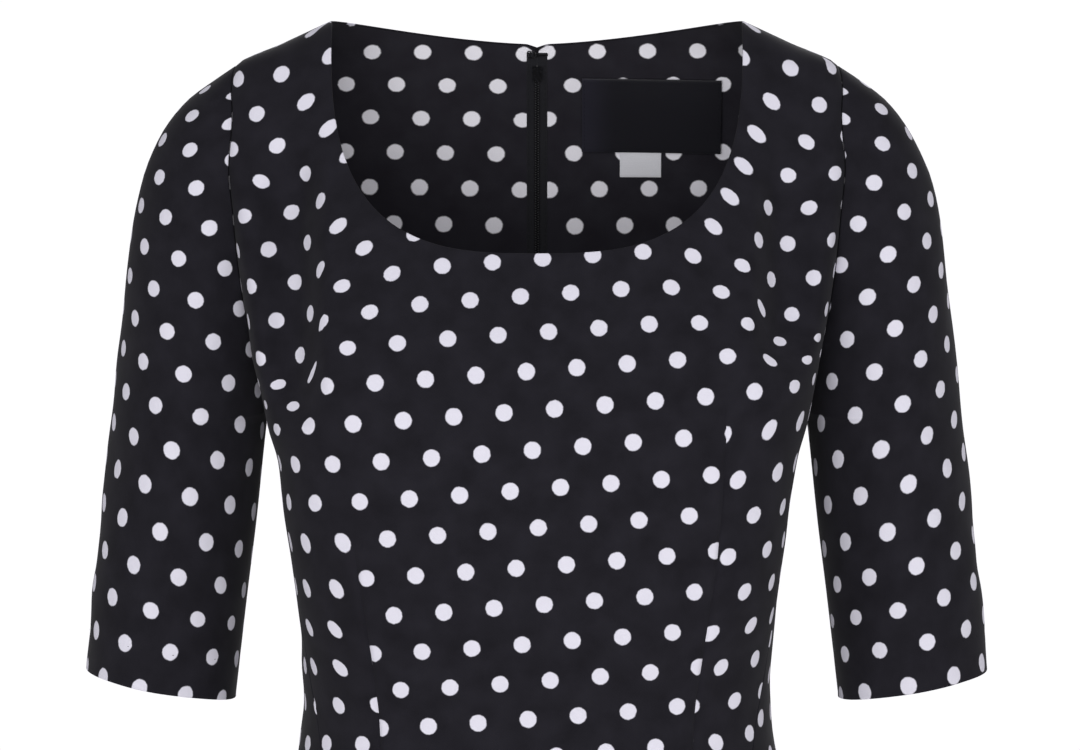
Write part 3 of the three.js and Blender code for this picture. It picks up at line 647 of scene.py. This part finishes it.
def centreGap(drop):
    opening = ramp(drop, centreBack["bridgeFrom"] - centreBack["ease"], centreBack["bridgeFrom"])
    closing = ramp(drop, centreBack["bridgeTo"], centreBack["bridgeTo"] + centreBack["ease"])
    opening = opening * (1 - closing)
    return centreBack["gap"] + centreBack["bridge"] * opening


# How each cut piece lies on the cloth. turn is in degrees, start is where the first dot of
# the print falls, and ease is how much the worn cloth is drawn in across and along.
frontCloth = {
    "turn": 4.4, "start": (-8.4, -154.6), "ease": (1.05, 1.03),
    "strapLift": 29, "liftFrom": 60, "liftTo": 165, "strapEase": 110, "strapBottom": 195,
    "strapSpread": 18, "spreadFrom": 30, "spreadTo": 125, "pastDartLift": 6, "pastDartEase": 46,
    "besideFrom": 120, "besideTo": 145,
}
backCloth = {
    1: {"turn": 1, "start": (20.7, -46.9), "ease": (1.01, 0.985)},
    -1: {"turn": -1.6, "start": (-22.0, -48.8), "ease": (1, 1)},
}


def turned(u, v, cloth):
    angle = np.radians(cloth["turn"])
    x, y = u * cloth["ease"][0], v * cloth["ease"][1]
    along = x * np.cos(angle) + y * np.sin(angle) - cloth["start"][0]
    up = y * np.cos(angle) - x * np.sin(angle) - cloth["start"][1]
    return np.stack([along, up], axis=-1)


def strapLift(across, drop, side):
    # beside the neckline the worn cloth hangs lower than it does at the centre
    step = chestSteps[side]
    beside = ramp(across, frontCloth["besideFrom"], frontCloth["besideTo"])
    begin = frontCloth["strapEase"] + (step["ease"] - frontCloth["strapEase"]) * beside
    end = frontCloth["strapBottom"] + (step["bottom"] - frontCloth["strapBottom"]) * beside
    lift = ramp(across, frontCloth["liftFrom"], frontCloth["liftTo"])
    return frontCloth["strapLift"] * lift * (1 - ramp(drop, begin, end))


def centreLengths(isFront):
    # cloth length down the centre line to a drop
    drops = np.arange(0, hemDrop + 1, 1.0)
    lengths = arcLengths(bodyPoint(0.0 if isFront else pi, drops))
    return lambda drop: np.interp(drop, drops, lengths)


def bodyThreads(across, drop, side, isFront, pastDart):
    panel = frontPanel if isFront else backPanel
    u, v = across, -centreLengths(isFront)(drop)
    if pastDart:
        u = u + track(panel["intake"][side], "width")(drop)
    if isFront:
        v = v + strapLift(across, drop, side)
        if pastDart:
            top = panel["intake"][side]["drop"][0]
            v = v + frontCloth["pastDartLift"] * ramp(drop, top, top + frontCloth["pastDartEase"])
        spread = 1 - ramp(drop, frontCloth["spreadFrom"], frontCloth["spreadTo"])
        u = u + frontCloth["strapSpread"] * spread
    return turned(side * u, v, frontCloth if isFront else backCloth[side])


def bodyRow(drop, side, isFront, panel):
    # angles and cloth lengths from the centre line, close together by each edge and the dart
    centre = 0.0 if isFront else pi
    start = frontNeckAngle(drop) if isFront else backNeckAngle(drop)
    angles = np.linspace(centre, outerAngle(drop, isFront), 400)
    points = bodyPoint(side * angles, drop)
    outs = side * points[:, 0]
    lengths = arcLengths(points)
    first = np.interp(abs(start - centre), np.abs(angles - centre), lengths)
    whole = lengths[-1] - first
    peak = int(np.argmax(outs)) + 1
    dart = np.interp(track(panel["dart"], "out")(drop), outs[:peak], lengths[:peak]) - first
    dart = min(max(dart, 0.3 * whole), 0.7 * whole)
    dartDrops = panel["dart"]["drop"]
    neckDrop = neckline["frontDepth"]
    fineStart = 1 - float(ramp(drop, neckDrop + 4, neckDrop + 40)) if isFront else 1
    fineDart = float(ramp(drop, dartDrops[0] - 40, dartDrops[0] - 5))
    fineDart *= 1 - float(ramp(drop, dartDrops[-1] + 5, dartDrops[-1] + 40))
    inner = spaced(dart, panel["columns"][0], fineStart, fineDart)
    outer = spaced(whole - dart, panel["columns"][1], fineDart, 1)
    at = first + np.concatenate([inner, dart + outer[1:]])
    return np.interp(at, lengths, angles), at


def panelDrops(isFront, panel):
    shoulder = [0, 0.4, 1, 2, 4, 8, 12, 16, 20, 23, armholeTop, 27, 29, 32]
    if isFront:
        turns = np.radians(np.arange(30, 91, 3))
        neck = neckline["frontDepth"] * np.sin(turns) ** (2 / neckline["corner"])
        lowest = neckline["frontDepth"]
    else:
        share = (np.arange(24) / 23) ** neckline["backCurve"]
        neck = neckline["backTop"] + neckline["backDepth"] * (1 - share)
        shoulder = [0.05, 0.2, 0.4, 0.7] + [drop for drop in shoulder if drop >= 20]
        lowest = neckline["backTop"] + neckline["backDepth"]
    body = np.arange(132, hemDrop - 3, panel["rowStep"])
    parts = [neck, shoulder, lowest + edgeSteps, np.arange(36, 128, 4), body, hemDrop - edgeSteps]
    drops = np.unique(np.round(np.concatenate(parts), 3))
    return drops[np.concatenate([[True], np.diff(drops) > 0.04])]


def layHalf(bm, side, isFront, panel):
    # half of the front, or one back panel
    drops = panelDrops(isFront, panel)
    rows = [bodyRow(drop, side, isFront, panel) for drop in drops]
    angles, across = (np.array([row[k] for row in rows]) for k in (0, 1))
    down = np.repeat(drops[:, None], angles.shape[1], axis=1)
    points = bodyPoint(side * angles, down)
    normals = bodyNormal(side * angles, down)
    neckRows = int((drops <= neckline["frontDepth"]).sum()) if isFront else len(drops)
    seams = [points[:neckRows, 0], points[:, -1], points[0]]
    fromSeam = borderDistance(points, seams)
    fromHem = borderDistance(points, [points[-1]])
    dips = edgeDip(np.minimum(fromSeam, fromHem), seamRoll)
    x = points[..., 0]
    calm = ramp(fromSeam, *panel["calm"])  # creases fade towards a seam
    dips += calm * (foldDips(x, down, panel["folds"]) + unevenness(x, down, panel["seed"]))
    dartColumn = panel["columns"][0]
    fromDart = np.abs(across - across[:, dartColumn:dartColumn + 1])
    ends = panel["intake"][side]["drop"]
    along = ramp(down, ends[0] - 4, ends[0] + 40) * (1 - ramp(down, ends[-1] - 60, ends[-1]))
    dips += panel["dartDepth"] * along * np.clip(1 - fromDart / panel["dartHalf"], 0, 1) ** 1.3
    placed = points - normals * dips[..., None]
    if not isFront:
        placed[..., 0] += side * centreGap(down) * np.exp(-across / centreBack["gapReach"])
        nearTop = 1 - ramp(down, centreBack["notchFrom"], centreBack["notchEnd"])
        notch = np.exp(-(across / centreBack["notchReach"]) ** 2)
        placed[..., 2] -= centreBack["notch"] * nearTop * notch
    threads = [bodyThreads(across, down, side, isFront, past) for past in (False, True)]
    layGrid(bm, placed, normals, threads[0], threads[1], dartColumn)
    print("  flat area", round(flatArea(points), 4), "widest", round(float(across[:, -1].max()), 1),
          "length", round(float(centreLengths(isFront)(hemDrop)), 1))


sleeveOuter = tableOf("drop out", [
    (26, 177), (34, 189), (46, 205.5), (58, 216), (70, 223), (93, 232), (129, 239.5), (176, 245),
    (230, 251), (294, 258.5), (341, 264), (392, 268.5),
])
sleeveInner = tableOf("drop out", [(230, 159), (252, 161.5), (294, 166), (341, 172), (400, 179)])
sleeveMiddle = tableOf("drop centre", [(26, 8), (230, 6), (400, 13)])
sleeveHalfDepth = tableOf("drop reach", [(230, 61), (300, 57), (400, 48)])
sleeveOuterAt = track(sleeveOuter, "out")
sleeveInnerAt = track(sleeveInner, "out")
sleeveMiddleAt = track(sleeveMiddle, "centre")
sleeveHalfDepthAt = track(sleeveHalfDepth, "reach")

sleeve = {
    "columns": 84, "capRows": 46, "armRows": 34, "capFullness": 1.3, "tipFacing": (0.45, 0, 0.89),
    "hem": {"drop": 394.2, "outerRise": 8.4, "frontDip": -0.6, "innerDip": 0.5, "backShare": 0.5},
    "hemTurning": 24.5, "turningDip": 0.22, "turningHalf": 2.4, "calm": (2, 22), "seed": 37,
    # around is measured forward from the outer line
    "folds": [
        (70, 236, 10, 262, 9, 0.9), (66, 268, 0, 300, 9, 0.8), (30, 318, -46, 334, 9, 0.7),
        (74, 300, 34, 330, 8, 0.6), (-76, 240, -16, 272, 9, 1.0), (-72, 282, -20, 306, 9, 0.9),
        (84, 120, 70, 200, 8, 0.7), (-84, 120, -66, 200, 9, 0.8), (10, 60, 14, 150, 14, -0.5),
        (40, 350, 46, 400, 12, 0.7), (-40, 350, -44, 400, 12, 0.8),
    ],
}
sleeveCloth = {
    1: {"turn": 0, "start": (-67.9, -163.3), "ease": (1.02, 1.055), "fall": 0.24, "hemSlide": -2},
    -1: {"turn": 0, "start": (90.5, -191.9), "ease": (1.05, 1.055), "fall": 0.22, "hemSlide": 5},
}
# How the grain bends down a sleeve; each range is in halves below the middle.
sleeveGrain = {"middle": 215, "half": 150, "bowAcross": 11, "bowAlong": 9, "lean": 0.035,
               "turnOver": 20, "turnRise": 3, "slideRange": (0.5, 1.1), "hemFall": 4.6,
               "fallRange": (0.05, 0.65), "hemRise": 1, "hemTilt": 0.07, "tiltAbout": 50,
               "tiltRange": (0.75, 1.1)}


def sleeveSection(drop, isFront):
    outer = sleeveOuterAt(drop)
    half = (outer - sleeveInnerAt(drop)) / 2
    reach = armholeReach(drop, isFront)
    edge = outAtDepth(reach, sectionAt(drop, isFront))
    fallen = np.clip((drop - armholeTop) / (2 * armhole["halfHeight"]), 0, 1)
    fill = sleeveHalfDepthAt(drop) * fallen ** sleeve["capFullness"]
    depth = np.hypot(reach, fill)
    share = fill / np.maximum(depth, 1e-9)
    centre = (edge + share * outer) / (1 + share)
    closed = drop >= armholeBottom
    return (
        np.where(closed, outer - half, centre),
        np.where(closed, half, outer - centre),
        np.where(closed, sleeveHalfDepthAt(drop), depth),
        np.where(closed, pi, np.arccos(-np.clip(share, 0, 1))),
    )


def sleevePoint(place, drop):
    # place runs from -1 at the front edge through 0 on the outer line to 1 at the back edge
    place, drop = np.broadcast_arrays(np.asarray(place, float), np.asarray(drop, float))
    front, back = sleeveSection(drop, True), sleeveSection(drop, False)
    centre, half, depth, end = (np.where(place < 0, f, b) for f, b in zip(front, back))
    angle = end * np.abs(place)
    x = centre + half * np.cos(angle)
    y = sleeveMiddleAt(drop) + np.sign(place) * depth * np.sin(angle)
    return np.stack([x, y, -drop], axis=-1)


def sleeveHemDrop(place):
    hem, angle = sleeve["hem"], pi * place
    innerWave = np.minimum(0, np.sin(2 * angle) * np.sign(place))
    dip = hem["innerDip"] * innerWave - hem["frontDip"] * np.sin(angle)
    dip = np.where(place < 0, dip, dip * hem["backShare"])
    return hem["drop"] - hem["outerRise"] * np.cos(angle) + dip


def sleeveNormal(place, drop):
    turn, fall = 0.006, 0.5
    after, before = np.minimum(1, place + turn), np.maximum(-1, place - turn)
    across = sleevePoint(after, drop) - sleevePoint(before, drop)
    high = np.maximum(drop - fall, np.where(drop > armholeBottom, armholeBottom, armholeTop + 0.05))
    low = np.minimum(drop + fall, np.where(drop < armholeBottom, armholeBottom - 0.01, 500))
    down = sleevePoint(place, low) - sleevePoint(place, high)
    return unit(-np.cross(across, down))


def sleeveRow(dropsAt):
    # places, cloth lengths and drops round the sleeve for a row, from the front edge to the back
    places = np.linspace(-1, 1, 401)
    lengths = arcLengths(sleevePoint(places, dropsAt(places)))
    at = spaced(lengths[-1], sleeve["columns"], 1, 1)
    row = np.interp(at, lengths, places) if lengths[-1] > 0 else np.linspace(-1, 1, len(at))
    return row, np.interp(0, places, lengths) - at, dropsAt(row)


def laySleeve(bm, side):
    cap = np.radians(np.linspace(0, 180, sleeve["capRows"]))
    capDrops = armhole["middle"] - armhole["halfHeight"] * np.cos(cap)
    length = sleeve["hem"]["drop"] - armholeBottom
    shares = np.concatenate([np.linspace(0, 1, sleeve["armRows"])[1:-1], 1 - edgeSteps / length])
    rows = [sleeveRow(lambda place: np.full(np.shape(place), drop)) for drop in capDrops]
    for share in np.unique(shares):
        def dropsAt(place):
            return armholeBottom + (sleeveHemDrop(place) - armholeBottom) * share
        rows.append(sleeveRow(dropsAt))
    places, around, down = (np.array([row[k] for row in rows]) for k in range(3))
    points = sleevePoint(places, down)
    normals = sleeveNormal(places, down)
    normals[0] = unit(np.array(sleeve["tipFacing"]))
    closed = len(capDrops) - 1
    joined = unit(normals[closed:, 0] + normals[closed:, -1])
    normals[closed:, 0] = normals[closed:, -1] = joined
    fromArmhole = borderDistance(points, [points[:closed + 1, 0], points[:closed + 1, -1]])
    fromUnderarm = borderDistance(points, [points[closed:, 0]])
    fromHem = borderDistance(points, [points[-1]])
    fromSeam = np.minimum(fromArmhole, fromUnderarm)
    dips = edgeDip(np.minimum(fromSeam, fromHem), seamRoll)
    seed = sleeve["seed"] + side
    calm = ramp(fromSeam, *sleeve["calm"])
    dips += calm * (foldDips(around, down, sleeve["folds"]) + unevenness(around, down, seed))
    # the hem's turning is caught to the cloth along a line that shows faintly
    fromTurning = np.abs(fromHem - sleeve["hemTurning"])
    dips += sleeve["turningDip"] * np.clip(1 - fromTurning / sleeve["turningHalf"], 0, 1)
    placed = points - normals * dips[..., None]
    outerDrops = np.arange(26.5, 412, 0.5)
    outerLengths = arcLengths(sleevePoint(0.0, outerDrops))
    fallen = np.interp(down, outerDrops, outerLengths)
    low = (fallen - sleeveGrain["middle"]) / sleeveGrain["half"]
    cloth, grain = sleeveCloth[side], sleeveGrain
    slid = around - cloth["hemSlide"] * ramp(low, *grain["slideRange"])
    u = -side * (slid + grain["bowAcross"] * low ** 2) + grain["lean"] * fallen
    v = cloth["fall"] * (np.hypot(around, grain["turnOver"]) - grain["turnRise"])
    v = v - fallen + grain["bowAlong"] * low ** 2
    # towards the hem the grain drops, most on the outer side
    tilt = grain["hemRise"] + grain["hemTilt"] * (np.abs(around) - grain["tiltAbout"])
    eased = ramp(low, *grain["tiltRange"]) * tilt
    v += ramp(low, *grain["fallRange"]) * (grain["hemFall"] - eased)
    mirror = np.array([side, 1, 1])
    layGrid(bm, placed * mirror, normals * mirror, turned(u, v, cloth))
    widest = float((around[:, 0] - around[:, -1]).max())
    print("  flat area", round(flatArea(points), 4), "round", round(widest, 1),
          "length", round(float(fallen.max()), 1))


zipTape = {"inside": 0, "outside": 6.2, "top": 21.6, "bottom": 570, "near": 1.36,
           "thickness": 0.42, "columns": 7, "rows": 360, "crown": 0, "sag": 0, "clear": 0.03}
neckLabel = {"inside": 27, "outside": 111, "top": 36.7, "bottom": 82.8, "near": 3.4,
             "thickness": 0.7, "columns": 40, "rows": 24, "crown": 1.1, "sag": 0.4}
sizeTab = {"inside": 50, "outside": 75, "top": 76, "bottom": 98.6, "near": 2.3, "thickness": 0.8,
           "columns": 12, "rows": 12, "crown": 0.4, "sag": 0}
ventUnderlap = {"inside": -9, "outside": 36, "top": 850, "bottom": 1038, "near": 2.1,
                "thickness": 1.3, "columns": 12, "rows": 40, "crown": 0, "sag": 0}


def backPlace(out, drop):
    # places on the back by distance from the centre line and drop
    out, drop = np.broadcast_arrays(np.asarray(out, float), np.asarray(drop, float))
    side = np.where(out < 0, -1, 1)
    angle = side * (pi - np.arctan2(np.abs(out), depthAtOut(np.abs(out), sectionAt(drop, False))))
    return bodyPoint(angle, drop), bodyNormal(angle, drop)


def backPatch(name, patch, materials, side=1, printed=False):
    # a flat piece that lies inside the back, with its face towards the wearer
    outs = side * np.linspace(patch["inside"], patch["outside"], patch["columns"])
    out, drop = np.meshgrid(outs, np.linspace(patch["top"], patch["bottom"], patch["rows"]))
    middle, half = (outs[0] + outs[-1]) / 2, abs(outs[-1] - outs[0]) / 2
    if "clear" in patch:  # it stays outside the parted edges
        out = side * np.maximum(side * out, centreGap(drop) + patch["clear"])
    point, normal = backPlace(out, drop + patch["sag"] * (out - middle) / half)
    tall = patch["bottom"] - patch["top"]
    crown = np.sin(pi * (out - outs[0]) / (outs[-1] - outs[0]))
    crown = crown * np.sin(pi * (drop - patch["top"]) / tall)
    depth = patch["near"] + patch["thickness"] + patch["crown"] * crown
    threads = np.stack([out, -drop], axis=-1)
    if printed:
        threads = bodyThreads(np.abs(out), drop, 1, False, False)
    bm = bmesh.new()
    layGrid(bm, point - normal * depth[..., None], -normal, threads)
    return clothPiece(name, bm, materials, patch["thickness"], edge=0.2)


def threadPieces(name, rows, size, material):
    # many small rounded lengths, each given by its middle and the way that it lies
    bm = bmesh.new()
    for middle, along in rows:
        turn = Vector(along).to_track_quat("X", "Z").to_matrix().to_4x4()
        halves = Matrix.Diagonal((*[whole / 2000 for whole in size], 1))
        place = Matrix.Translation(Vector(middle) / 1000) @ turn @ halves
        bmesh.ops.create_uvsphere(bm, u_segments=6, v_segments=4, radius=1, matrix=place)
    piece = finishedPiece(name, bm, [material])
    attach(piece, "dress")
    return piece


zipCoil = {"top": 39, "bottom": 566, "step": 1.5, "out": 0.8, "depth": 2.5,
           "size": (2.6, 0.85, 1.2)}
zipStitches = {"top": 30, "bottom": 567, "step": 3.4, "out": 4.9, "depth": 1.84,
               "size": (2.5, 0.35, 0.35)}
labelStitches = {"step": 2.6, "inset": 1.6, "belowTop": 2, "aboveBottom": 1,
                 "size": (1.9, 0.35, 0.35)}
hemStitches = {"size": (1.5, 0.32, 0.32), "skirtTurning": 30, "skirtDegrees": 3.2,
               "skirtDepth": 0.1, "perSleeve": 41, "sleeveDepth": 0.2}


def lineDownBack(out, drops, depth):
    rows = []
    for drop in drops:
        point, normal = backPlace(out, drop)
        below, _ = backPlace(out, drop + 1)
        rows.append((point - normal * depth, below - point))
    return rows


placeCamera()
hangLights()
layFloor()

cotton = cottonMaterial("printedCotton", printedCotton)
# the inside's cloth, its ground and dots painted paler as painted light for the inside of the back
cottonBackPaintedLight = cottonMaterial("printedCottonReversePaintedLight", printedCottonReversePaintedLight)
tape = ribbonMaterial("zipTape")
satin = ribbonMaterial("labelSatin", labelPaintedHighlight)
white = ribbonMaterial("whiteTape")
enamel, nylon, thread = (hardMaterial(name) for name in ("blackEnamel", "nylonCoil", "blackThread"))
print("materials made")

bm = bmesh.new()
for side in (1, -1):
    layHalf(bm, side, True, frontPanel)
front = clothPiece("frontPanel", bm, [cotton, cottonBackPaintedLight], wall)
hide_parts("front")
print("front panel made")

for side, name in ((1, "left"), (-1, "right")):
    bm = bmesh.new()
    layHalf(bm, side, False, backPanel)
    back = clothPiece("backPanel." + name, bm, [cotton, cottonBackPaintedLight], wall)
    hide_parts("back_" + name)

    bm = bmesh.new()
    laySleeve(bm, side)
    arm = clothPiece("sleeve." + name, bm, [cotton, cottonBackPaintedLight], wall)
    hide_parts("sleeve_" + name)

    strip = backPatch("zipTape." + name, zipTape, [tape], side)
    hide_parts("zip_tape_" + name)
print("back panels, sleeves and zip tapes made")

label = backPatch("neckLabel", neckLabel, [satin])
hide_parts("neck_label")
tab = backPatch("sizeTab", sizeTab, [white])
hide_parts("size_tab")
underlap = backPatch("ventUnderlap", ventUnderlap, [cottonBackPaintedLight, cotton], printed=True)
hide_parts("vent_underlap")

coil = []
for i, drop in enumerate(np.arange(zipCoil["top"], zipCoil["bottom"], zipCoil["step"] / 2)):
    point, normal = backPlace(zipCoil["out"] * (1 if i % 2 else -1), drop)
    coil.append((point - normal * zipCoil["depth"], (1, 0, 0)))
teeth = threadPieces("zipCoil", coil, zipCoil["size"], nylon)

rows = []
for side in (1, -1):
    drops = np.arange(zipStitches["top"], zipStitches["bottom"], zipStitches["step"])
    rows += lineDownBack(side * zipStitches["out"], drops, zipStitches["depth"])
zipSewing = threadPieces("zipStitches", rows, zipStitches["size"], thread)

rows = []
inner = neckLabel["inside"] + labelStitches["inset"]
outer = neckLabel["outside"] - labelStitches["inset"]
for out, sag in ((inner, -neckLabel["sag"]), (outer, neckLabel["sag"])):
    first = neckLabel["top"] + sag + labelStitches["belowTop"]
    last = neckLabel["bottom"] + sag - labelStitches["aboveBottom"]
    drops = np.arange(first, last, labelStitches["step"])
    rows += lineDownBack(out, drops, neckLabel["near"] + neckLabel["thickness"])
labelSewing = threadPieces("labelStitches", rows, labelStitches["size"], thread)

rows = []
for side in (1, -1):
    places = np.linspace(-1, 1, hemStitches["perSleeve"] + 1)[:-1] + 0.01
    drops = sleeveHemDrop(places) - sleeve["hemTurning"]
    points, normals = sleevePoint(places, drops), sleeveNormal(places, drops)
    ahead = sleevePoint(np.minimum(1, places + 0.004), drops) - points
    for point, normal, along in zip(points, normals, ahead):
        mirror = np.array([side, 1, 1])
        rows.append(((point - normal * hemStitches["sleeveDepth"]) * mirror, along * mirror))
drop = hemDrop - hemStitches["skirtTurning"]
for angle in np.radians(np.arange(-178, 178, hemStitches["skirtDegrees"])):
    point, normal = bodyPoint(angle, drop), bodyNormal(angle, drop)
    rows.append((point - normal * hemStitches["skirtDepth"], bodyPoint(angle + 0.01, drop) - point))
hemSewing = threadPieces("hemStitches", rows, hemStitches["size"], thread)
print("trims and stitches made")

for name in ("zip_slider", "pull_tab", "eye", "hook"):
    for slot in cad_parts[name].material_slots:
        slot.material = enamel
